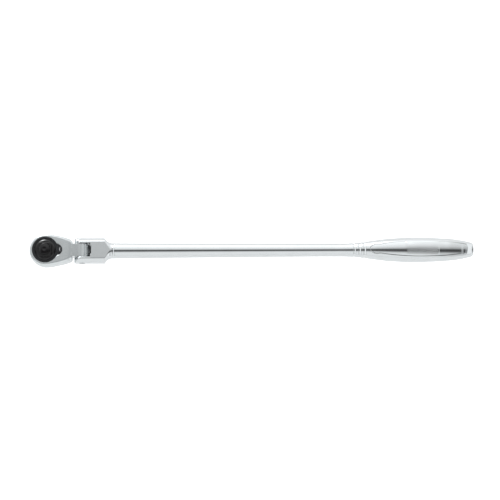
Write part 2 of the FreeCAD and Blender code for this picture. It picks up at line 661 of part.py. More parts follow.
def drive_gear():
    """Ratchet gear, journals and drive square in one piece."""
    gear = toothed_disc(GEAR_TIP_RADIUS, GEAR_ROOT_RADIUS, GEAR_BOTTOM_Z, GEAR_TOP_Z)
    gear = gear.fuse(cylinder(LOWER_JOURNAL_RADIUS, GEAR_FACE_Z, GEAR_BOTTOM_Z + 1))
    gear = gear.fuse(cylinder(UPPER_JOURNAL_RADIUS, GEAR_TOP_Z - 1, NECK_BOTTOM_Z))
    gear = gear.fuse(cylinder(NECK_RADIUS, NECK_BOTTOM_Z - 1, NECK_TOP_Z))
    gear = gear.fuse(drive_square())
    gear = gear.cut(cylinder(ROD_RADIUS + FIT, ROD_BORE_END_Z, FAR))
    gear = gear.cut(cylinder(SPRING_WELL_RADIUS, SPRING_WELL_Z, FAR))
    gear = gear.cut(cylinder_along_y(BALL_RADIUS + FIT, -FAR, 0, 0.0, BALL_Z))
    return gear.cut(ring(CLIP_GROOVE_RADIUS, NECK_RADIUS + 1, CLIP_BOTTOM_Z - 0.05, CLIP_TOP_Z + 0.05))


def spinner_disc():
    """Finger disc with a rounded-square hub, on the gear's neck."""
    bevel_z = SPINNER_TOP_Z - SPINNER_BEVEL_HEIGHT
    disc = revolve_about_z([
        (0, SPINNER_BOTTOM_Z),
        (SPINNER_RADIUS, SPINNER_BOTTOM_Z),
        (SPINNER_RADIUS, bevel_z),
        (SPINNER_RADIUS - SPINNER_BEVEL_WIDTH, SPINNER_TOP_Z),
        (0, SPINNER_TOP_Z),
    ])
    half = HUB_ACROSS / 2
    hub = box(-half, half, half, SPINNER_TOP_Z - 0.5, HUB_TOP_Z)
    upright = edges_where(hub, lambda edge: edge.BoundBox.ZLength > 1)
    hub = hub.makeFillet(HUB_CORNER, upright)
    top = edges_where(hub, lambda edge: edge.BoundBox.ZMin > HUB_TOP_Z - 0.01)
    hub = hub.makeChamfer(HUB_TOP_CHAMFER, top)
    disc = disc.fuse(hub)
    disc = disc.cut(cylinder(NECK_RADIUS, -FAR, FAR))
    return disc.cut(cylinder(HUB_WELL_RADIUS, HUB_FLOOR_Z, FAR))


def spinner_clip():
    """Snap ring in the neck's groove, above the spinner's web."""
    clip = ring(CLIP_GROOVE_RADIUS, CLIP_OUTER_RADIUS, CLIP_BOTTOM_Z, CLIP_TOP_Z)
    return clip.cut(sector(FAR, 22, CLIP_BOTTOM_Z - 1, CLIP_TOP_Z + 1))


# ---- quick release -----------------------------------------------------------------
def release_button():
    """Round push button with a shallow dimple."""
    body = cylinder(BUTTON_RADIUS, BUTTON_BOTTOM_Z, BUTTON_TOP_Z)
    crown = BUTTON_TOP_Z - BUTTON_EDGE_Z
    crown_radius = (BUTTON_RADIUS**2 + crown**2) / (2 * crown)
    body = body.common(Part.makeSphere(crown_radius, Vector(0, 0, BUTTON_TOP_Z - crown_radius)))
    dimple_z = BUTTON_TOP_Z - BUTTON_DIMPLE_DEPTH + BUTTON_DIMPLE_RADIUS
    body = body.cut(Part.makeSphere(BUTTON_DIMPLE_RADIUS, Vector(0, 0, dimple_z)))
    return body.cut(cylinder(ROD_RADIUS, -FAR, ROD_TOP_Z))


def release_rod():
    """Rod with the waist that lets the socket ball drop in."""
    end_chamfer = 0.5
    outline = [(0, ROD_BOTTOM_Z), (ROD_RADIUS - end_chamfer, ROD_BOTTOM_Z)]
    outline.append((ROD_RADIUS, ROD_BOTTOM_Z + end_chamfer))
    outline += [(radius, z) for z, radius in ROD_WAIST]
    outline += [(ROD_RADIUS, ROD_TOP_Z), (0, ROD_TOP_Z)]
    return revolve_about_z(outline)


def release_spring():
    length = BUTTON_BOTTOM_Z - SPRING_WELL_Z
    spring = coil_spring(RELEASE_SPRING_RADIUS, RELEASE_SPRING_WIRE, RELEASE_SPRING_TURNS, length)
    spring.translate(Vector(0, 0, SPRING_WELL_Z))
    return spring


def socket_ball():
    centre_y = -(SQUARE_ACROSS / 2 + BALL_STAND_OUT - BALL_RADIUS)
    return Part.makeSphere(BALL_RADIUS, Vector(0, centre_y, BALL_Z))


# ---- reversing lever and pawl --------------------------------------------------------
def reversing_lever():
    """Lever with its shaft: round boss, thumb tab over the rear of the lobe."""
    shaft = cylinder(LEVER_SHAFT_RADIUS, LEVER_SHAFT_END_Z, LEVER_BOTTOM_Z + 0.5, LEVER_X)
    boss = cylinder(LEVER_BOSS_RADIUS, LEVER_BOTTOM_Z, LEVER_BOSS_Z, LEVER_X)
    reach = cylinder(LEVER_TAB_REACH, LEVER_BOTTOM_Z, LEVER_TAB_Z, LEVER_X)
    face_x = LEVER_TAB_FACE_X + LEVER_TAB_FACE_RADIUS
    tab = reach.common(cylinder(LEVER_TAB_FACE_RADIUS, LEVER_BOTTOM_Z, LEVER_TAB_Z, face_x))
    top = edges_where(tab, lambda edge: edge.BoundBox.ZMin > LEVER_TAB_Z - 0.01)
    tab = tab.makeChamfer(0.3, top)
    lever = shaft.fuse(boss).fuse(tab).removeSplitter()
    bore = cylinder_along_x(
        SELECTOR_RADIUS + FIT, LEVER_X - 2, LEVER_X - SELECTOR_BORE_END, SELECTOR_Z
    )
    groove = ring(LEVER_CLIP_GROOVE_RADIUS, 2.0, LEVER_CLIP_Z[0] - 0.05, LEVER_CLIP_Z[1] + 0.05, LEVER_X)
    return lever.cut(bore).cut(groove)


def lever_clip():
    """Snap ring that keeps the lever shaft in the head."""
    clip = ring(LEVER_CLIP_GROOVE_RADIUS, LEVER_CLIP_RADIUS, LEVER_CLIP_Z[0], LEVER_CLIP_Z[1], LEVER_X)
    return clip.cut(sector(FAR, 25, LEVER_CLIP_Z[0] - 1, LEVER_CLIP_Z[1] + 1, LEVER_X))


def selector_plunger():
    """Pin in the lever shaft, with a chamfered nose, that pushes the pawl over."""
    tip_x = LEVER_X - SELECTOR_REACH
    pin = cylinder_along_x(SELECTOR_RADIUS, tip_x, LEVER_X - SELECTOR_END, SELECTOR_Z)
    tip_edge = edges_where(pin, lambda edge: abs(edge.BoundBox.XMax - tip_x) < 0.01)
    return pin.makeChamfer(SELECTOR_TIP_CHAMFER, tip_edge)


def selector_spring():
    start_x = LEVER_X - SELECTOR_END
    length = SELECTOR_END - SELECTOR_BORE_END
    return aim_along_x(coil_spring(0.36, 0.1, 4, length), start_x, SELECTOR_Z)


def reversing_pawl():
    """Two-ended pawl: each end's teeth are cut to the gear at that end's limit."""
    arms = sector(PAWL_OUTER_RADIUS, PAWL_HALF_DEG, PAWL_BOTTOM_Z, PAWL_TOP_Z)
    arms = arms.cut(cylinder(PAWL_INNER_RADIUS, PAWL_BOTTOM_Z - 1, PAWL_TOP_Z + 1))
    pawl = arms.fuse(cylinder(PAWL_HUB_RADIUS, PAWL_BOTTOM_Z, PAWL_TOP_Z, LEVER_X)).removeSplitter()
    gear_cut = toothed_disc(
        GEAR_TIP_RADIUS + PAWL_TOOTH_PLAY,
        GEAR_ROOT_RADIUS + PAWL_TOOTH_PLAY,
        PAWL_BOTTOM_Z - 1,
        PAWL_TOP_Z + 1,
    )
    for swing in (-PAWL_SWING_DEG, PAWL_SWING_DEG):
        meshed = gear_cut.copy()
        meshed.rotate(Vector(LEVER_X, 0, 0), Z_AXIS, swing)
        pawl = pawl.cut(meshed)
    pawl = pawl.cut(cylinder(LEVER_SHAFT_RADIUS + FIT, -FAR, FAR, LEVER_X))
    low_z, high_z = PAWL_WINDOW_Z
    window = sector(PAWL_WINDOW_RADIUS, PAWL_WINDOW_HALF_DEG, low_z, high_z, LEVER_X, True)
    wall_x = LEVER_X - PAWL_WINDOW_RADIUS - 0.3
    cam_peak = prism([(wall_x, -0.6), (LEVER_X - 1.75, 0), (wall_x, 0.6)], high_z - low_z, low_z)
    return pawl.cut(window.cut(cam_peak))


NODES = [
    handle_shank, pivot_screw, pivot_washers, flex_detent_plunger, flex_detent_spring,
    head_housing, cover_plate, cover_retaining_ring, gear_cone_washer, drive_seal, lever_seal,
    drive_gear, spinner_disc, spinner_clip,
    release_button, release_rod, release_spring, socket_ball,
    reversing_lever, lever_clip, selector_plunger, selector_spring, reversing_pawl,
]


def main():
    os.makedirs("parts", exist_ok=True)
    for make in NODES:
        shape = make()
        if not shape.isValid():
            raise ValueError(make.__name__ + " is not a valid shape")
        shape.exportStep("parts/" + make.__name__ + ".step")
        print(make.__name__, len(shape.Solids), "solid(s)", round(shape.Volume, 1), "mm3")


main()
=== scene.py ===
import json
import math

import bpy
import numpy as np
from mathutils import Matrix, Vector


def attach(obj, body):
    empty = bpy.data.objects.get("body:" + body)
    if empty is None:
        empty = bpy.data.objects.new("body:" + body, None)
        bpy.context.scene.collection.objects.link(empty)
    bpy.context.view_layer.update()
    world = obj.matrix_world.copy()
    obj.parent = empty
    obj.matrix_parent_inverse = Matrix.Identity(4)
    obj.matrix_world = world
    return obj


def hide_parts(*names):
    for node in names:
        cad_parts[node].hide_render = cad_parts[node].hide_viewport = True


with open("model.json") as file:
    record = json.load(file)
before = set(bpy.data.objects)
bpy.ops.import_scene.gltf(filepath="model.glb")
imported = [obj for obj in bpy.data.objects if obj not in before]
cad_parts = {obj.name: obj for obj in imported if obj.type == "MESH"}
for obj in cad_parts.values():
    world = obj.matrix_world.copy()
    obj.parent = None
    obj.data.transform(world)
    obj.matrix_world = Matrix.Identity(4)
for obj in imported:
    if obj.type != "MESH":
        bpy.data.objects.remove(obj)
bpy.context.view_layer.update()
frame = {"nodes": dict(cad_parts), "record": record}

MM = 0.001

# Driving sizes in millimetres, in the frame of the CAD model.
FIT = 0.05

PIVOT_X = 31.0
YOKE_HALF_THICKNESS = 6.75
YOKE_HALF_WIDTH = 10.75
YOKE_BEVEL = 3.2
YOKE_EDGE = 0.35
YOKE_END_X = 59.8
SLOT_HALF_WIDTH = 6.0
SLOT_END_X = 38.35
SLOT_RELIEF_X = 39.2
SLOT_RELIEF_HALF_WIDTH = 3.5
SLOT_EDGE = 0.4
# A black block fills the slot's end below the tang, as painted shade in the gap.
SLOT_SHADE_BLOCK_X = 37.2
SLOT_SHADE_BLOCK_HALF_THICKNESS = 2.6
PLUNGER_BORE_RADIUS = 1.97
PLUNGER_BORE_END_X = 49.8
YOKE_BLANK_RADIUS = 11.5
YOKE_BLEND_RADIUS = 7.5
SHAFT_START_X = 57.4
SHAFT_START_RADIUS = 6.65
GRIP_END_X = 368.1

SCREW_RADIUS = 2.5
SCREW_TIP_Y = -9.9
SCREW_HEAD_RADIUS = 3.2
SCREW_HEAD_SEAT_Y = 9.55
SCREW_HEAD_TOP_Y = 11.3
SCREW_DOME_RADIUS = 8.83
SCREW_SOCKET_HALF_WIDTH = 1.25
SCREW_SOCKET_FLOOR_Y = -8.3

TANG_RADIUS = 5.9
TANG_HALF_WIDTH = 5.5
DETENT_RADIUS = 1.2
DETENT_DEPTH = 0.2
DETENT_STEP_DEG = 15
DETENTS_EACH_WAY = 7

HEAD_RADIUS = 14.0
HEAD_TOP_RADIUS = 12.6
HEAD_BOTTOM_Z = -4.2
HEAD_SHOULDER_Z = 5.6
HEAD_TOP_Z = 8.6
HEAD_REAR_X = 22.9
HEAD_REAR_CORNER = 2.2
HEAD_FALL_START_X = 13.0
HEAD_FALL_CURVE = 0.0132
GEAR_BORE_RADIUS = 7.05
LEVER_WELL_RADIUS = 2.45
LEVER_WELL_TOP_Z = -3.0

COVER_SEAT_Z = 5.2
COVER_TOP_Z = 7.2
COVER_RADIUS = 11.08
COVER_HOLE_RADIUS = 6.55
LOBE_X = 9.11
LOBE_RADIUS = 5.34
RIM_CHAMFER = 0.2

LEVER_X = 11.5
LEVER_SHAFT_RADIUS = 1.2
LEVER_BOSS_RADIUS = 2.15
LEVER_BOSS_Z = (7.35, 8.5)
TAB_REACH = 2.8
TAB_FACE_RADIUS = 3.4
TAB_FACE_CENTRE_X = 15.8
TAB_TOP_Z = 10.3

DISC_RADIUS = 9.0
DISC_FLAT_RADIUS = 7.6
DISC_BEVEL_SLOPE = 1.55
DISC_BOTTOM_Z = 7.4
DISC_TOP_Z = 8.9
DISC_BORE_RADIUS = 4.0
HUB_HALF_WIDTH = 5.85
HUB_CORNER_RADIUS = 2.3
HUB_TOP_Z = 12.0
BUTTON_WELL_RADIUS = 4.9
BUTTON_WELL_FLOOR_Z = 8.6
BUTTON_RADIUS = 4.75
BUTTON_BOTTOM_Z = 11.3
BUTTON_TOP_Z = 13.6
BUTTON_CROWN = 0.7
DIMPLE_RADIUS = 4.2
DIMPLE_CENTRE_Z = 17.45


# ---- curves ------------------------------------------------------------------------
def smooth_curve(points, x):
    """Shape-keeping cubic through (x, value) points, level beyond its ends."""
    px = np.array([p[0] for p in points], float)
    py = np.array([p[1] for p in points], float)
    step = np.diff(px)
    slope = np.diff(py) / step
    tangent = np.empty_like(px)
    tangent[0], tangent[-1] = slope[0], slope[-1]
    same_sign = slope[:-1] * slope[1:] > 0
    blend = (slope[:-1] * step[1:] + slope[1:] * step[:-1]) / (step[:-1] + step[1:])
    tangent[1:-1] = np.where(same_sign, blend, 0.0)
    inside = np.clip(x, px[0], px[-1])
    k = np.clip(np.searchsorted(px, inside, side="right") - 1, 0, len(px) - 2)
    h = step[k]
    t = (inside - px[k]) / h
    return (
        py[k] * (1 + 2 * t) * (1 - t) ** 2
        + tangent[k] * h * t * (1 - t) ** 2
        + py[k + 1] * t * t * (3 - 2 * t)
        + tangent[k + 1] * h * t * t * (t - 1)
    )


SHAFT_RADII = [(38.8, 6.75), (57.4, 6.65), (72.2, 6.52), (132.5, 6.1), (198.8, 5.78), (238.8, 5.65)]
GRIP_RADII = [
    (253.3, 5.65), (261.9, 5.9), (267.1, 6.3), (275.8, 7.3), (281.3, 8.05), (287.8, 8.95),
    (296.4, 9.85), (306.8, 10.5), (316.8, 10.75), (325.8, 10.6), (332.8, 10.35), (340.8, 9.95),
    (348.2, 9.45), (354.8, 8.67), (360.8, 7.6), (365.5, 6.45),
]
END_ROUND_X = 365.5
END_ROUND_RADIUS = 6.45
END_FLAT_RADIUS = 4.1


def grip_outline(x):
    """Radius of shaft and grip at x, without grooves or panel."""
    body = smooth_curve(SHAFT_RADII + GRIP_RADII, x)
    turn = np.clip((x - END_ROUND_X) / (GRIP_END_X - END_ROUND_X), 0, 1)
    drop = END_ROUND_RADIUS - END_FLAT_RADIUS
    rounded = END_FLAT_RADIUS + drop * np.sqrt(np.clip(1 - turn**2, 0, 1)) - 0.35 * turn
    return np.where(x > END_ROUND_X, np.minimum(body, rounded), body)


# ---- solids from distance fields -----------------------------------------------------
def round_max(a, b, radius):
    """Intersection of two fields, its edge rounded to the radius."""
    u = np.maximum(a + radius, 0)
    v = np.maximum(b + radius, 0)
    return np.minimum(-radius, np.maximum(a, b)) + np.sqrt(u * u + v * v)


def round_min(a, b, radius):
    """Union of two fields, its inner corner filled to the radius."""
    return -round_max(-a, -b, radius)


def circle_field(x, y, radius, centre_x=0.0):
    """Distance outside a circle centred on the X axis."""
    return np.hypot(x - centre_x, y) - radius


def between(value, low, high):
    """Distance outside the range from low to high."""
    return np.maximum(low - value, value - high)


def surface_points(field, axes):
    """One point in each cell that the surface crosses, and quads round each crossed edge."""
    inside = field < 0
    shape = tuple(n - 1 for n in field.shape)
    total = np.zeros(shape + (3,), np.float32)
    count = np.zeros(shape, np.float32)
    for axis in range(3):
        low = [slice(None)] * 3
        high = [slice(None)] * 3
        low[axis], high[axis] = slice(0, -1), slice(1, None)
        a, b = field[tuple(low)], field[tuple(high)]
        crossed = inside[tuple(low)] != inside[tuple(high)]
        share = np.where(crossed, a / np.where(crossed, a - b, 1), 0)
        others = [o for o in range(3) if o != axis]
        for p in (0, 1):
            for q in (0, 1):
                part = [slice(None)] * 3
                part[others[0]] = slice(p, p + shape[others[0]])
                part[others[1]] = slice(q, q + shape[others[1]])
                c, s = crossed[tuple(part)], share[tuple(part)]
                count += c
                total[..., axis] += s * c
                total[..., others[0]] += p * c
                total[..., others[1]] += q * c
    used = count > 0
    cells = np.argwhere(used)
    local = total[used] / count[used][:, None]
    steps = np.array([axes[d][1] - axes[d][0] for d in range(3)])
    starts = np.array([axes[d][0] for d in range(3)])
    points = starts + (cells + local) * steps
    number = np.full(shape, -1, np.int64)
    number[used] = np.arange(len(cells))
    quads = []
    for axis in range(3):
        low = [slice(1, -1)] * 3
        high = [slice(1, -1)] * 3
        low[axis], high[axis] = slice(0, -1), slice(1, None)
        first, second = inside[tuple(low)], inside[tuple(high)]
        u, v = [(1, 2), (2, 0), (0, 1)][axis]
        for flip, mask in ((False, first & ~second), (True, ~first & second)):
            at = np.argwhere(mask)
            at[:, u] += 1
            at[:, v] += 1
            ring = []
            for du, dv in ((-1, -1), (0, -1), (0, 0), (-1, 0)):
                cell = at.copy()
                cell[:, u] += du
                cell[:, v] += dv
                ring.append(number[cell[:, 0], cell[:, 1], cell[:, 2]])
            quad = np.stack(ring[::-1] if flip else ring, axis=1)
            quads.append(quad)
    return points, np.concatenate(quads)


def gradient(solid, points, step=0.004):
    """Slope of the field at each point, by differences."""
    sides = []
    for axis in range(3):
        shift = np.zeros(3)
        shift[axis] = step
        ahead, behind = points + shift, points - shift
        sides.append((solid(*ahead.T) - solid(*behind.T)) / (2 * step))
    return np.stack(sides, axis=1)


def solid_mesh(name, solid, low, high, cell):
    """Mesh of the surface where solid(x, y, z) is zero, in quads of about the cell's size."""
    axes = []
    for start, end in zip(low, high):
        count = int(math.ceil((end - start) / cell)) + 1
        axes.append(start + cell * np.arange(count))
    grid = np.meshgrid(*axes, indexing="ij")
    field = solid(*grid).astype(np.float32)
    field = np.where(field == 0, 1e-6, field)
    points, quads = surface_points(field, axes)
    for _ in range(4):
        slope = gradient(solid, points)
        length = np.maximum((slope**2).sum(axis=1), 0.05)
        move = (solid(*points.T) / length)[:, None] * slope
        reach = np.linalg.norm(move, axis=1, keepdims=True)
        points = points - move * np.minimum(1, 0.4 * cell / np.maximum(reach, 1e-9))
    normals = gradient(solid, points)
    normals /= np.maximum(np.linalg.norm(normals, axis=1, keepdims=True), 1e-9)
    return new_mesh(name, points, quads.tolist(), normals)


def new_mesh(name, points, faces, normals=None):
    """Smooth-shaded mesh object. Points are in millimetres."""
    mesh = bpy.data.meshes.new(name)
    mesh.from_pydata((np.asarray(points) * MM).tolist(), [], faces)
    mesh.validate()
    mesh.polygons.foreach_set("use_smooth", [True] * len(mesh.polygons))
    if normals is not None and len(mesh.vertices) == len(normals):
        mesh.normals_split_custom_set_from_vertices(np.asarray(normals).tolist())
    mesh.update()
    piece = bpy.data.objects.new(name, mesh)
    bpy.context.scene.collection.objects.link(piece)
    return piece


# ---- handle ------------------------------------------------------------------------
def yoke_radius(x):
    """Turned blank with its concave blend, sinking just under the shaft past its end."""
    rise = YOKE_BLANK_RADIUS - SHAFT_START_RADIUS
    reach = math.sqrt(YOKE_BLEND_RADIUS**2 - (YOKE_BLEND_RADIUS - rise) ** 2)
    back = np.clip(SHAFT_START_X - x, 0, reach)
    blend = SHAFT_START_RADIUS + YOKE_BLEND_RADIUS - np.sqrt(YOKE_BLEND_RADIUS**2 - back**2)
    sink = 0.25 * np.clip(x - SHAFT_START_X, 0, 4)
    return blend - sink


def yoke_solid(x, y, z):
    ay, az = np.abs(y), np.abs(z)
    ahead = np.minimum(x - PIVOT_X, 0)
    ears = np.hypot(ahead, z) - YOKE_HALF_THICKNESS
    sides = ay - YOKE_HALF_WIDTH
    bevel = (ay + az - (YOKE_HALF_WIDTH - YOKE_BEVEL + YOKE_HALF_THICKNESS)) / math.sqrt(2)
    body = round_max(ears, bevel, YOKE_EDGE)
    body = round_max(body, sides, YOKE_EDGE)
    turned = (np.hypot(y, z) - yoke_radius(x)) * 0.8
    body = round_max(body, turned, 0.25)
    body = np.maximum(body, x - YOKE_END_X)
    slot = np.maximum(ay - SLOT_HALF_WIDTH, x - SLOT_END_X)
    relief = np.maximum(ay - SLOT_RELIEF_HALF_WIDTH, x - SLOT_RELIEF_X)
    body = round_max(body, -np.minimum(slot, relief), SLOT_EDGE)
    pin = np.hypot(x - PIVOT_X, z)
    hole = pin - np.where(y > SCREW_HEAD_SEAT_Y, SCREW_HEAD_RADIUS, SCREW_RADIUS) - FIT
    body = round_max(body, -hole, 0.2)
    bore = np.maximum(np.hypot(y, z) - PLUNGER_BORE_RADIUS, x - PLUNGER_BORE_END_X)
    return round_max(body, -bore, 0.1)


def make_yoke():
    return solid_mesh("handle_yoke", yoke_solid, (23.8, -11.2, -7.2), (60.4, 11.2, 7.2), cell=0.22)


def slot_shade_block_solid(x, y, z):
    """Black block low in the end of the slot, standing a little off the tang: a dark piece put there as
    painted shade for the deep gap past the tang.
    """
    ay = np.abs(y)
    middle = np.maximum(ay - SLOT_RELIEF_HALF_WIDTH + FIT, between(x, SLOT_SHADE_BLOCK_X, SLOT_RELIEF_X + 0.2))
    wide = np.maximum(ay - SLOT_HALF_WIDTH + FIT, between(x, SLOT_SHADE_BLOCK_X, SLOT_END_X + 0.2))
    block = round_max(np.minimum(middle, wide), np.abs(z) - SLOT_SHADE_BLOCK_HALF_THICKNESS, 0.2)
    bore = np.hypot(y, z) - PLUNGER_BORE_RADIUS
    return round_max(block, -bore, 0.1)


def make_slot_shade_block():
    return solid_mesh("slot_shade_block", slot_shade_block_solid, (36.8, -6.4, -3.0), (39.8, 6.4, 3.0), cell=0.14)


GROOVES_X = [265.4, 269.7, 274.0]
GROOVE_DEPTH = 0.34
GROOVE_HALF = 0.85
# Half width of the grip's panel along the handle, and the radius its floor is curved to: (x, size).
PANEL_HALF = [
    (278.8, 0.0), (279.2, 1.5), (280.2, 2.5), (288.8, 4.25), (298.8, 5.6), (309.0, 6.4), (321.0, 6.85),
    (334.0, 6.6), (347.0, 5.95), (356.0, 4.9), (360.6, 4.1), (361.8, 3.3), (362.3, 0.0),
]
PANEL_STEP = 0.38
PANEL_EDGE = 0.12
FLOOR_CURVES = [
    (279.0, 8.0), (289.0, 9.8), (299.0, 11.5), (321.0, 13.0), (347.0, 14.2), (362.0, 14.2),
]
PAD_X = (309.3, 337.6)
PAD_RISE = 0.12
PAD_INSET = 0.55
PAD_BORDER = 0.9
KNURL_PITCH = 1.7
KNURL_DEPTH = 0.09


def ramp_up(value, width):
    """Smooth step from 0 to 1 about zero."""
    return 1 / (1 + np.exp(-np.clip(value / width, -40, 40)))


def panel_floor(radius, half, curve, angle):
    """Distance from the axis to the panel's floor: an arc that starts a step below each edge."""
    edge_z = np.sqrt(np.maximum(radius**2 - half**2, 0)) - PANEL_STEP
    drop = np.sqrt(curve**2 - half**2) - edge_z
    lift = drop * np.sin(angle)
    return -lift + np.sqrt(np.maximum(lift**2 + curve**2 - drop**2, 0))


def knurl(x, across):
    """Crossed diagonal grooves, from 0 at the points of the diamonds to 1 in the grooves."""
    first = np.abs(np.sin(math.pi * (x + across) / KNURL_PITCH))
    second = np.abs(np.sin(math.pi * (x - across) / KNURL_PITCH))
    return np.maximum(1 - first, 1 - second) ** 2


def shaft_surface(x, angle):
    """Radius of the handle's surface, with ring grooves and the grip's panel."""
    radius = grip_outline(x)
    for groove_x in GROOVES_X:
        off = (x - groove_x) / GROOVE_HALF
        radius = radius - GROOVE_DEPTH * np.exp(-(off**2))
    half = smooth_curve(PANEL_HALF, x)
    across = radius * np.cos(angle)
    inset = half - np.abs(across)
    in_panel = np.where((np.sin(angle) > 0) & (half > 0.05), ramp_up(inset, PANEL_EDGE), 0)
    curve = smooth_curve(FLOOR_CURVES, x)
    floor = np.minimum(panel_floor(radius, half, curve, angle), radius - 0.05)
    in_pad = ramp_up(x - PAD_X[0], 0.08) * ramp_up(PAD_X[1] - x, 0.08)
    in_pad = in_pad * ramp_up(inset - PAD_INSET, 0.08)
    from_border = np.minimum(np.minimum(x - PAD_X[0], PAD_X[1] - x), inset - PAD_INSET)
    patterned = ramp_up(from_border - PAD_BORDER, 0.12)
    floor = floor + in_pad * (PAD_RISE - KNURL_DEPTH * patterned * knurl(x, across))
    return radius + (floor - radius) * in_panel


# Where the rings of points lie: (first x, last x, step), closer together where there is detail.
STATION_RUNS = [
    (56.8, 250.8, 3.0), (250.8, 262.8, 1.0), (262.8, 276.8, 0.2), (276.8, 278.8, 0.5), (278.8, 281.8, 0.1),
    (281.8, 308.8, 0.45), (308.8, 338.2, 0.15), (338.2, 359.8, 0.45), (359.8, 365.5, 0.12),
]
POINTS_AROUND = 420


def make_shaft():
    """Shaft and grip: rings of points, closed at both ends."""
    stations = []
    for start, end, step in STATION_RUNS:
        stations += list(np.arange(start, end - step / 2, step))
    turn = np.linspace(0, math.pi / 2, 14)
    stations += list(END_ROUND_X + (GRIP_END_X - END_ROUND_X) * np.sin(turn))
    around = POINTS_AROUND
    angles = panel_angles(around)
    rows = []
    for x in stations:
        radius = shaft_surface(np.full(around, x), angles)
        rows.append(np.stack([np.full(around, x), radius * np.cos(angles), radius * np.sin(angles)], 1))
    points = np.concatenate(rows + [[[stations[0], 0, 0]], [[stations[-1], 0, 0]]])
    faces = []
    for row in range(len(stations) - 1):
        for k in range(around):
            n = (k + 1) % around
            a, b = row * around, (row + 1) * around
            faces.append((a + k, a + n, b + n, b + k))
    last = (len(stations) - 1) * around
    start, end = len(points) - 2, len(points) - 1
    caps = []
    for k in range(around):
        n = (k + 1) % around
        caps.append((start, n, k))
        caps.append((end, last + k, last + n))
    return new_mesh("handle_shaft", points, [face[::-1] for face in faces + caps])


def panel_angles(count):
    """Angles round the handle, closer together over the panel's side."""
    even = np.linspace(0, 2 * math.pi, count, endpoint=False)
    return even + 0.45 * np.cos(even)


# ---- head --------------------------------------------------------------------------
# Half widths of the head at its shoulder and at its top, and the height of its neck: (x, size).
HEAD_SIDE = [
    (-2.0, 14.0), (2.0, 13.93), (9.5, 12.75), (13.0, 12.05), (16.4, 11.2), (20.5, 9.8), (24.9, 8.2),
]
HEAD_TOP_SIDE = [
    (-2.0, 12.6), (2.0, 12.53), (9.5, 11.3), (13.0, 10.4), (16.4, 9.1), (20.5, 6.9), (22.9, 5.6), (24.9, 5.0),
]
NECK_TOP = [
    (15.0, 7.3), (22.6, 7.2), (23.6, 7.0), (25.0, 6.72),
    (26.6, 6.38), (28.4, 6.02), (29.6, 5.87), (31.0, 5.82),
]
NECK_START_X = 18.0


def soft_ramp(value, width):
    """0 below zero and rising at one to one above, turning over the given width."""
    return 0.5 * (value + np.sqrt(value * value + width * width))


def head_shell(x, y, z):
    """Outside of the head: pear-shaped, its sides leaning in above the shoulder."""
    share = soft_ramp(z - HEAD_SHOULDER_Z, 0.5) / (HEAD_TOP_Z - HEAD_SHOULDER_Z)
    low_half = smooth_curve(HEAD_SIDE, x)
    top_half = smooth_curve(HEAD_TOP_SIDE, x)
    half = low_half + (top_half - low_half) * share
    front_radius = HEAD_RADIUS + (HEAD_TOP_RADIUS - HEAD_RADIUS) * share
    sides = np.where(x < 0, np.hypot(x, y) - front_radius, np.abs(y) - half)
    sides = round_max(sides * 0.92, x - HEAD_REAR_X, HEAD_REAR_CORNER)
    fall = np.clip(x - HEAD_FALL_START_X, 0, None)
    top = z - (HEAD_TOP_Z - HEAD_FALL_CURVE * fall**2)
    body = round_max(sides, top, 0.5)
    return round_max(body, HEAD_BOTTOM_Z - z, 1.1)


def tang_solid(x, y, z):
    """Neck and the round tang with its detent notches."""
    neck = np.maximum(z - smooth_curve(NECK_TOP, x), HEAD_BOTTOM_Z - z)
    neck = np.maximum(neck, between(x, NECK_START_X, PIVOT_X))
    tang = np.hypot(x - PIVOT_X, z) - TANG_RADIUS
    distance = TANG_RADIUS + DETENT_RADIUS - DETENT_DEPTH
    for k in range(-DETENTS_EACH_WAY, DETENTS_EACH_WAY + 1):
        angle = math.radians(DETENT_STEP_DEG * k)
        notch = np.hypot(x - PIVOT_X - distance * math.cos(angle), z - distance * math.sin(angle))
        tang = round_max(tang, DETENT_RADIUS - notch, 0.1)
    shank = round_min(neck * 0.95, tang, 0.3)
    return round_max(shank, np.abs(y) - TANG_HALF_WIDTH, 0.3)


def head_solid(x, y, z):
    body = round_min(head_shell(x, y, z), tang_solid(x, y, z), 0.12)
    chamfered = keyhole_field(x, y, 0.04) - np.maximum(z - (HEAD_TOP_Z - RIM_CHAMFER), 0)
    recess = np.maximum(chamfered, COVER_SEAT_Z - 0.6 - z)
    body = round_max(body, -recess, 0.12)
    gear_bore = np.maximum(np.hypot(x, y) - GEAR_BORE_RADIUS, z)
    body = round_max(body, -gear_bore, 0.25)
    well = np.maximum(circle_field(x, y, LEVER_WELL_RADIUS, LEVER_X), z - LEVER_WELL_TOP_Z)
    body = round_max(body, -well, 0.2)
    pin = np.hypot(x - PIVOT_X, z) - (SCREW_RADIUS + FIT)
    return round_max(body, -pin, 0.15)


def keyhole_field(x, y, play):
    """Outline of the cover: a circle with a smaller lobe behind it."""
    circle = circle_field(x, y, COVER_RADIUS + play)
    lobe = circle_field(x, y, LOBE_RADIUS + play, LOBE_X)
    return np.minimum(circle, lobe)


def make_head():
    return solid_mesh("head_forging", head_solid, (-14.6, -14.6, -4.8), (37.6, 14.6, 9.2), cell=0.22)


def cover_solid(x, y, z):
    plate = round_max(keyhole_field(x, y, 0.0), between(z, COVER_SEAT_Z, COVER_TOP_Z), 0.2)
    lever_hole = circle_field(x, y, LEVER_SHAFT_RADIUS + FIT, LEVER_X)
    plate = round_max(plate, -lever_hole, 0.05)
    return round_max(plate, COVER_HOLE_RADIUS - np.hypot(x, y), 0.1)


def make_cover():
    return solid_mesh("cover_plate_finished", cover_solid, (-11.8, -11.8, 4.9), (15.2, 11.8, 7.6), cell=0.15)


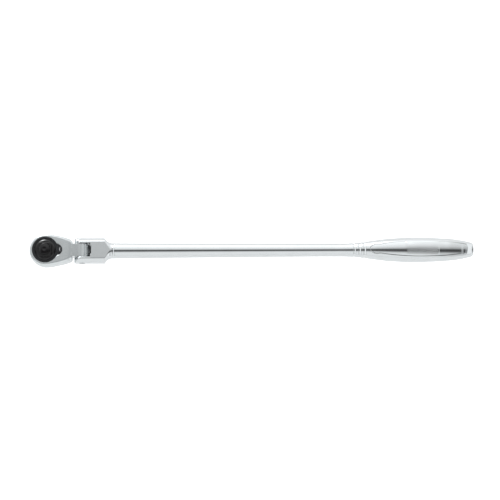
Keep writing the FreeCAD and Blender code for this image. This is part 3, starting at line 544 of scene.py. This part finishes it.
def spinner_solid(x, y, z):
    """Bevelled disc with its rounded-square hub and the button's well."""
    r = np.hypot(x, y)
    disc = round_max(r - DISC_RADIUS, z - DISC_TOP_Z, 0.15)
    bevel = r - DISC_FLAT_RADIUS + (z - DISC_TOP_Z) * DISC_BEVEL_SLOPE
    disc = round_max(disc, bevel / math.hypot(1, DISC_BEVEL_SLOPE), 0.2)
    disc = round_max(disc, DISC_BOTTOM_Z - z, 0.2)
    ax, ay = np.abs(x), np.abs(y)
    straight = HUB_HALF_WIDTH - HUB_CORNER_RADIUS
    corner = np.hypot(np.maximum(ax - straight, 0), np.maximum(ay - straight, 0)) - HUB_CORNER_RADIUS
    square = np.maximum(corner, np.maximum(ax, ay) - HUB_HALF_WIDTH)
    hub = round_max(square, z - HUB_TOP_Z, 0.55)
    hub = np.maximum(hub, 8.0 - z)
    whole = round_min(disc, hub, 0.35)
    well = np.maximum(r - BUTTON_WELL_RADIUS, BUTTON_WELL_FLOOR_Z - z)
    whole = round_max(whole, -well, 0.15)
    return round_max(whole, DISC_BORE_RADIUS - r, 0.05)


def make_spinner():
    return solid_mesh("spinner_finished", spinner_solid, (-9.5, -9.5, 7.0), (9.5, 9.5, 12.4), cell=0.14)


def button_solid(x, y, z):
    """Push button with a low crown and a thumb dimple, bored for its spring."""
    r = np.hypot(x, y)
    crown_radius = (BUTTON_RADIUS**2 + BUTTON_CROWN**2) / (2 * BUTTON_CROWN)
    crown = np.sqrt(r**2 + (z - BUTTON_TOP_Z + crown_radius) ** 2) - crown_radius
    body = round_max(r - BUTTON_RADIUS, crown, 0.35)
    body = round_max(body, BUTTON_BOTTOM_Z - z, 0.1)
    dimple = np.sqrt(r**2 + (z - DIMPLE_CENTRE_Z) ** 2) - DIMPLE_RADIUS
    body = round_max(body, -dimple, 0.3)
    return round_max(body, -np.maximum(r - 2.1, z - 12.2), 0.02)


def make_button():
    return solid_mesh("button_finished", button_solid, (-5.1, -5.1, 11.0), (5.1, 5.1, 13.9), cell=0.1)


def lever_solid(x, y, z):
    """Boss, thumb tab and shaft of the reversing lever."""
    from_axis = np.hypot(x - LEVER_X, y)
    boss = round_max(from_axis - LEVER_BOSS_RADIUS, between(z, *LEVER_BOSS_Z), 0.15)
    reach = np.maximum(from_axis - TAB_REACH, circle_field(x, y, TAB_FACE_RADIUS, TAB_FACE_CENTRE_X))
    tab = round_max(reach, between(z, LEVER_BOSS_Z[0], TAB_TOP_Z), 0.3)
    shaft = np.maximum(from_axis - LEVER_SHAFT_RADIUS, between(z, -4.0, 8.0))
    return round_min(round_min(boss, tab, 0.3), shaft, 0.05)


def make_lever():
    return solid_mesh("lever_finished", lever_solid, (8.9, -3.1, -4.3), (14.9, 3.1, 10.6), cell=0.1)


def screw_solid(x, y, z):
    """Pivot screw: domed head on the far side, hexagon socket in the near end."""
    r = np.hypot(x - PIVOT_X, z)
    head = round_max(r - SCREW_HEAD_RADIUS, between(y, SCREW_HEAD_SEAT_Y + 0.02, SCREW_HEAD_TOP_Y), 0.2)
    dome = np.sqrt(r**2 + (y - SCREW_HEAD_TOP_Y + SCREW_DOME_RADIUS) ** 2) - SCREW_DOME_RADIUS
    head = round_max(head, dome, 0.1)
    shank = round_max(r - SCREW_RADIUS, between(y, SCREW_TIP_Y, SCREW_HEAD_SEAT_Y + 0.25), 0.25)
    angle = np.arctan2(z, x - PIVOT_X)
    sector = np.mod(angle, math.pi / 3) - math.pi / 6
    socket = np.maximum(r * np.cos(sector) - SCREW_SOCKET_HALF_WIDTH, y - SCREW_SOCKET_FLOOR_Y)
    return round_max(np.minimum(head, shank), -socket, 0.08)


def make_screw():
    return solid_mesh("screw_finished", screw_solid, (27.4, -10.3, -3.6), (34.6, 11.7, 3.6), cell=0.14)


class NodeMaths:
    """Short way to write sums with shader nodes."""

    def __init__(self, tree):
        self.tree = tree

    def fill(self, node, values):
        for socket, value in zip(node.inputs, values):
            if isinstance(value, (int, float)):
                socket.default_value = value
            else:
                self.tree.links.new(value, socket)

    def run(self, kind, *values):
        node = self.tree.nodes.new("ShaderNodeMath")
        node.operation = kind
        self.fill(node, values)
        return node.outputs[0]

    def step(self, value, start, end, low=0.0, high=1.0):
        node = self.tree.nodes.new("ShaderNodeMapRange")
        node.interpolation_type = "SMOOTHSTEP"
        self.fill(node, (value, start, end, low, high))
        return node.outputs[0]

    def bell(self, value, centre, width):
        off = self.run("DIVIDE", self.run("SUBTRACT", value, centre), width)
        return self.run("EXPONENT", self.run("MULTIPLY", self.run("MULTIPLY", off, off), -1.0))


# ---- materials -----------------------------------------------------------------------
def new_material(name, colour, metallic, roughness):
    material = bpy.data.materials.new(name)
    material.use_nodes = True
    shader = material.node_tree.nodes["Principled BSDF"]
    shader.inputs["Metallic"].default_value = metallic
    shader.inputs["Roughness"].default_value = roughness
    shader.inputs["Base Color"].default_value = (*colour, 1)
    return material, material.node_tree, shader


def noise_node(tree, scale, stretch=(1, 1, 1), detail=3.0):
    """Noise in the object's own space. Scale is in features per metre."""
    coordinates = tree.nodes.new("ShaderNodeTexCoord")
    mapping = tree.nodes.new("ShaderNodeMapping")
    mapping.inputs["Scale"].default_value = stretch
    noise = tree.nodes.new("ShaderNodeTexNoise")
    noise.inputs["Scale"].default_value = scale
    noise.inputs["Detail"].default_value = detail
    tree.links.new(coordinates.outputs["Object"], mapping.inputs["Vector"])
    tree.links.new(mapping.outputs["Vector"], noise.inputs["Vector"])
    return noise


def spread(tree, noise, low, high):
    """Maps the middle of the noise's range to low..high."""
    ramp = tree.nodes.new("ShaderNodeMapRange")
    ramp.inputs["From Min"].default_value = 0.3
    ramp.inputs["From Max"].default_value = 0.7
    ramp.inputs["To Min"].default_value = low
    ramp.inputs["To Max"].default_value = high
    tree.links.new(noise.outputs["Fac"], ramp.inputs["Value"])
    return ramp.outputs["Result"]


def tinted(tree, noise, low, high):
    """Colour that wanders between low and high with the noise."""
    ramp = tree.nodes.new("ShaderNodeValToRGB")
    ramp.color_ramp.elements[0].position = 0.3
    ramp.color_ramp.elements[1].position = 0.7
    ramp.color_ramp.elements[0].color = (*low, 1)
    ramp.color_ramp.elements[1].color = (*high, 1)
    tree.links.new(noise.outputs["Fac"], ramp.inputs["Fac"])
    return ramp.outputs["Color"]


def add_bump(tree, shader, noise, strength, distance):
    """Fine relief from the noise. Distance is in metres."""
    bump = tree.nodes.new("ShaderNodeBump")
    bump.inputs["Strength"].default_value = strength
    bump.inputs["Distance"].default_value = distance
    tree.links.new(noise.outputs["Fac"], bump.inputs["Height"])
    tree.links.new(bump.outputs["Normal"], shader.inputs["Normal"])


def chrome(name, low_rough, high_rough, colour):
    """Plated steel: clouded roughness and fine polishing marks along the handle."""
    low = tuple(c * 0.97 for c in colour)
    material, tree, shader = new_material(name, colour, 1.0, low_rough)
    clouds = noise_node(tree, 90.0)
    tree.links.new(tinted(tree, clouds, low, colour), shader.inputs["Base Color"])
    marks = noise_node(tree, 2200.0, (0.06, 1, 1), 2.0)
    tree.links.new(spread(tree, marks, low_rough, high_rough), shader.inputs["Roughness"])
    grain = noise_node(tree, 3500.0, (0.05, 1, 1), 1.0)
    add_bump(tree, shader, grain, 0.05, 0.00002)
    return material


def tab_highlight_and_wear(tree):
    """How much bright metal shows on the lever, along the tab's upper front edge: partly thumb wear, partly a
    painted highlight on that edge.
    """
    maths = NodeMaths(tree)
    coordinates = tree.nodes.new("ShaderNodeTexCoord")
    split = tree.nodes.new("ShaderNodeSeparateXYZ")
    tree.links.new(coordinates.outputs["Object"], split.inputs["Vector"])
    x, y, z = split.outputs
    back = maths.run("SUBTRACT", x, TAB_FACE_CENTRE_X * MM)
    squares = maths.run("ADD", maths.run("MULTIPLY", back, back), maths.run("MULTIPLY", y, y))
    from_face = maths.run("SUBTRACT", maths.run("SQRT", squares), TAB_FACE_RADIUS * MM)
    edge = maths.run("MULTIPLY", maths.bell(from_face, 0.0, 0.7 * MM), maths.bell(y, 0.0, 1.9 * MM))
    high = maths.step(z, (TAB_TOP_Z - 0.7) * MM, (TAB_TOP_Z - 0.35) * MM)
    patches = maths.step(noise_node(tree, 1800.0).outputs["Fac"], 0.2, 0.5)
    amount = maths.run("MULTIPLY", maths.run("MULTIPLY", edge, high), patches)
    return maths.step(amount, 0.25, 0.6)


# Places of the colour sockets on a Mix node.
MIX_COLOUR_A, MIX_COLOUR_B, MIX_COLOUR_RESULT = 6, 7, 2


def show_bright_metal(tree, shader, base, highlight_and_wear_colour, amount):
    """Mixes bright bare metal into the base colour by the given amount: partly wear, partly a painted
    highlight.
    """
    mix = tree.nodes.new("ShaderNodeMix")
    mix.data_type = "RGBA"
    tree.links.new(amount, mix.inputs["Factor"])
    tree.links.new(base, mix.inputs[MIX_COLOUR_A])
    mix.inputs[MIX_COLOUR_B].default_value = (*highlight_and_wear_colour, 1)
    tree.links.new(mix.outputs[MIX_COLOUR_RESULT], shader.inputs["Base Color"])
    tree.links.new(amount, shader.inputs["Metallic"])


def black_finish(name, colour, low_rough, high_rough, grain_size, bump, shine=0.6, highlight_and_wear_colour=None):
    """Blackened steel, plastic or rubber: mottled colour, clouded roughness and a fine grain, and if asked a
    bright metal mark that is partly wear and partly a painted highlight.
    """
    material, tree, shader = new_material(name, colour, 0.0, low_rough)
    shader.inputs["Specular IOR Level"].default_value = shine
    mottle = noise_node(tree, 600.0)
    light = tuple(c * 1.7 for c in colour)
    base = tinted(tree, mottle, colour, light)
    if highlight_and_wear_colour:
        show_bright_metal(tree, shader, base, highlight_and_wear_colour, tab_highlight_and_wear(tree))
    else:
        tree.links.new(base, shader.inputs["Base Color"])
    cloud = noise_node(tree, 1500.0)
    tree.links.new(spread(tree, cloud, low_rough, high_rough), shader.inputs["Roughness"])
    grain = noise_node(tree, grain_size, detail=2.0)
    add_bump(tree, shader, grain, bump, 0.00003)
    return material


def turned_steel(name, colour, low_rough, high_rough):
    """Bare steel with turning marks."""
    material, tree, shader = new_material(name, colour, 1.0, low_rough)
    clouds = noise_node(tree, 400.0)
    low = tuple(c * 0.85 for c in colour)
    tree.links.new(tinted(tree, clouds, low, colour), shader.inputs["Base Color"])
    rings = noise_node(tree, 2500.0, (1, 1, 5), 2.0)
    tree.links.new(spread(tree, rings, low_rough, high_rough), shader.inputs["Roughness"])
    add_bump(tree, shader, rings, 0.1, 0.00002)
    return material


def finish(piece, material):
    piece.data.materials.clear()
    piece.data.materials.append(material)


POLISHED = chrome("polished_chrome_finish", 0.09, 0.15, colour=(0.80, 0.82, 0.83))
SATIN = chrome("satin_chrome_finish", 0.17, 0.25, colour=(0.77, 0.80, 0.81))
BLACK_METAL = black_finish(
    "black_oxide_finish", (0.007, 0.0075, 0.0095), 0.24, 0.36, grain_size=4000.0, bump=0.12
)
# Black oxide with a bright bare-metal mark on the lever tab's upper front edge: partly rub wear, partly a
# painted highlight where light catches that edge.
HIGHLIT_AND_WORN_METAL = black_finish(
    "oxide_highlight_and_wear_finish", (0.008, 0.0085, 0.0105), 0.24, 0.36, grain_size=4000.0, bump=0.12,
    highlight_and_wear_colour=(0.85, 0.85, 0.86),
)
BLACK_PLASTIC = black_finish(
    "black_plastic_finish", (0.005, 0.0045, 0.005), 0.12, 0.2, grain_size=6000.0, bump=0.08, shine=0.45
)
RUBBER = black_finish("seal_rubber_finish", (0.012, 0.012, 0.012), 0.6, 0.75, grain_size=3000.0, bump=0.2)
STEEL = turned_steel("bare_steel_finish", (0.56, 0.57, 0.58), 0.22, 0.34)
SPRING = turned_steel("spring_steel_finish", (0.42, 0.42, 0.43), 0.25, 0.38)
SLOT_FINISH = {
    "polished_chrome": POLISHED, "satin_chrome": SATIN, "black_oxide": BLACK_METAL,
    "black_plastic": BLACK_PLASTIC, "seal_rubber": RUBBER, "bare_steel": STEEL, "spring_steel": SPRING,
}

# ---- the object ----------------------------------------------------------------------
for entry in frame["record"]["subparts"]:
    finish(frame["nodes"][entry["node"]], SLOT_FINISH[entry["material_slot"]])


def place(piece, body, slot, *nodes):
    """Gives a piece its finish and body, and hides the CAD nodes that it stands for."""
    finish(piece, SLOT_FINISH[slot])
    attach(piece, body)
    if nodes:
        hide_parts(*nodes)


place(make_shaft(), "handle", "polished_chrome", "handle_shank")
place(make_yoke(), "handle", "polished_chrome", "handle_shank")
# The black block in the slot's end is painted shade, not a part of the handle.
place(make_slot_shade_block(), "handle", "black_oxide")
place(make_screw(), "handle", "satin_chrome", "pivot_screw")
place(make_head(), "head", "satin_chrome", "head_housing")
place(make_cover(), "head", "black_oxide", "cover_plate")
place(make_spinner(), "drive", "black_plastic", "spinner_disc")
place(make_button(), "release", "black_plastic", "release_button")
lever = make_lever()
place(lever, "lever", "black_oxide", "reversing_lever")
# The lever's tab carries the painted highlight, given as rubbed-through bare metal.
finish(lever, HIGHLIT_AND_WORN_METAL)


# ---- studio --------------------------------------------------------------------------
FLOOR_GLOW = 0.5
FLOOR_HALF_SIZE = 6.0
# The floor lies below the head's reach when the head hangs straight down.
FLOOR_CLEARANCE = 3.0


def make_floor():
    """White sheet, lifted a little towards plain white where it is seen directly."""
    material, tree, shader = new_material("floor_finish", (0.9, 0.9, 0.9), 0.0, 0.9)
    shader.inputs["Specular IOR Level"].default_value = 0.1
    shader.inputs["Emission Color"].default_value = (1, 1, 1, 1)
    rays = tree.nodes.new("ShaderNodeLightPath")
    seen = NodeMaths(tree).run("MULTIPLY", rays.outputs["Is Camera Ray"], FLOOR_GLOW)
    tree.links.new(seen, shader.inputs["Emission Strength"])
    half = FLOOR_HALF_SIZE
    level = -(PIVOT_X + HEAD_RADIUS + FLOOR_CLEARANCE) * MM
    corners = [(-half, -half, level), (half, -half, level), (half, half, level), (-half, half, level)]
    mesh = bpy.data.meshes.new("floor")
    mesh.from_pydata(corners, [], [(0, 1, 2, 3)])
    floor = bpy.data.objects.new("floor", mesh)
    bpy.context.scene.collection.objects.link(floor)
    floor.data.materials.append(material)


# How bright the tent is across the handle: degrees from overhead, towards the far side, and level.
SKY_ACROSS = [
    (-180, 0.70), (-100, 0.72), (-40, 0.74), (-26, 0.55), (-17, 0.14), (-10, 0.065), (-3, 0.065),
    (3, 0.20), (8, 0.46), (13, 0.56), (24, 0.76), (46, 0.92), (72, 1.08), (98, 0.95), (180, 0.72),
]
# The bars are at both ends of the handle, and the lamp lights the disc's bevel from the far side.
BAR_LEVEL = 0.85
SKY_STRENGTH = 1.25
LAMP_LEVEL = 14.0
LAMP_X, LAMP_WIDTH = -0.34, 0.17
LAMP_ACROSS, LAMP_HEIGHT = math.radians(76), math.radians(11)


def studio_sky():
    """Soft tent round the object: a dark slit along it, a bright bar at each end, one soft box."""
    world = bpy.data.worlds.new("studio")
    bpy.context.scene.world = world
    world.use_nodes = True
    tree = world.node_tree
    nodes, links = tree.nodes, tree.links
    nodes.clear()
    maths = NodeMaths(tree)

    direction = nodes.new("ShaderNodeTexCoord")
    split = nodes.new("ShaderNodeSeparateXYZ")
    links.new(direction.outputs["Generated"], split.inputs["Vector"])
    across = maths.run("ARCTAN2", split.outputs["Y"], split.outputs["Z"])
    share = maths.run("ADD", maths.run("DIVIDE", across, 2 * math.pi), 0.5)
    ramp = nodes.new("ShaderNodeValToRGB")
    ramp.color_ramp.interpolation = "EASE"
    while len(ramp.color_ramp.elements) < len(SKY_ACROSS):
        ramp.color_ramp.elements.new(0.5)
    for element, (degrees, level) in zip(ramp.color_ramp.elements, SKY_ACROSS):
        element.position = degrees / 360 + 0.5
        element.color = (level, level, level, 1)
    links.new(share, ramp.inputs["Fac"])

    along = maths.run("ABSOLUTE", split.outputs["X"])
    level = maths.run("MULTIPLY", ramp.outputs["Color"], maths.step(along, 0.74, 0.9, 1.0, 0.55))
    level = maths.run("MULTIPLY", level, maths.step(along, 0.16, 0.32, 1.0, 0.78))
    level = maths.run("MULTIPLY", level, maths.step(split.outputs["X"], 0.74, 0.86, 1.0, 0.5))
    bar = maths.run("MULTIPLY", maths.step(along, 0.46, 0.58), maths.step(along, 0.7, 0.82, 1.0, 0.0))
    kept = maths.run("MULTIPLY", level, maths.run("SUBTRACT", 1.0, bar))
    level = maths.run("ADD", kept, maths.run("MULTIPLY", bar, BAR_LEVEL))
    lamp_along = maths.bell(split.outputs["X"], LAMP_X, LAMP_WIDTH)
    lamp = maths.run("MULTIPLY", lamp_along, maths.bell(across, LAMP_ACROSS, LAMP_HEIGHT))
    level = maths.run("ADD", level, maths.run("MULTIPLY", lamp, LAMP_LEVEL))

    studio = nodes.new("ShaderNodeBackground")
    studio.inputs["Color"].default_value = (0.975, 0.995, 1.0, 1)
    links.new(maths.run("MULTIPLY", level, SKY_STRENGTH), studio.inputs["Strength"])
    plain = nodes.new("ShaderNodeBackground")
    plain.inputs["Color"].default_value = (1, 1, 1, 1)
    rays = nodes.new("ShaderNodeLightPath")
    pick = nodes.new("ShaderNodeMixShader")
    links.new(rays.outputs["Is Camera Ray"], pick.inputs["Fac"])
    links.new(studio.outputs[0], pick.inputs[1])
    links.new(plain.outputs[0], pick.inputs[2])
    output = nodes.new("ShaderNodeOutputWorld")
    links.new(pick.outputs[0], output.inputs["Surface"])


def soft_light(name, location, target, size, power):
    """Area light that is not seen in reflections."""
    light = bpy.data.lights.new(name, "AREA")
    light.shape = "RECTANGLE"
    light.size, light.size_y = size
    light.energy = power
    lamp = bpy.data.objects.new(name, light)
    lamp.location = location
    aim = Vector(target) - Vector(location)
    lamp.rotation_euler = aim.to_track_quat("-Z", "Y").to_euler()
    lamp.visible_glossy = False
    lamp.visible_camera = False
    bpy.context.scene.collection.objects.link(lamp)


CAMERA_ELEVATION = math.radians(80.5)
CAMERA_ROLL = math.radians(0.2)
CAMERA_DISTANCE = 1.25
CAMERA_TARGET = (0.17565, 0.0004, 0.0)
VIEW_WIDTH = 0.4313
SENSOR_WIDTH = 36.0


def make_camera():
    data = bpy.data.cameras.new("camera")
    camera = bpy.data.objects.new("camera", data)
    bpy.context.scene.collection.objects.link(camera)
    back = Vector((0, -math.cos(CAMERA_ELEVATION), math.sin(CAMERA_ELEVATION)))
    camera.location = Vector(CAMERA_TARGET) + back * CAMERA_DISTANCE
    camera.rotation_euler = (-back).to_track_quat("-Z", "Y").to_euler()
    camera.rotation_euler.rotate_axis("Z", -CAMERA_ROLL)
    data.sensor_width = SENSOR_WIDTH
    data.lens = SENSOR_WIDTH * CAMERA_DISTANCE / VIEW_WIDTH
    data.clip_start, data.clip_end = 0.01, 50
    bpy.context.scene.camera = camera


make_floor()
studio_sky()
soft_light("key", location=(0.17, -0.15, 1.7), target=(0.17, 0, 0), size=(2.0, 1.4), power=8)
make_camera()
bpy.context.scene.view_settings.view_transform = "Standard"
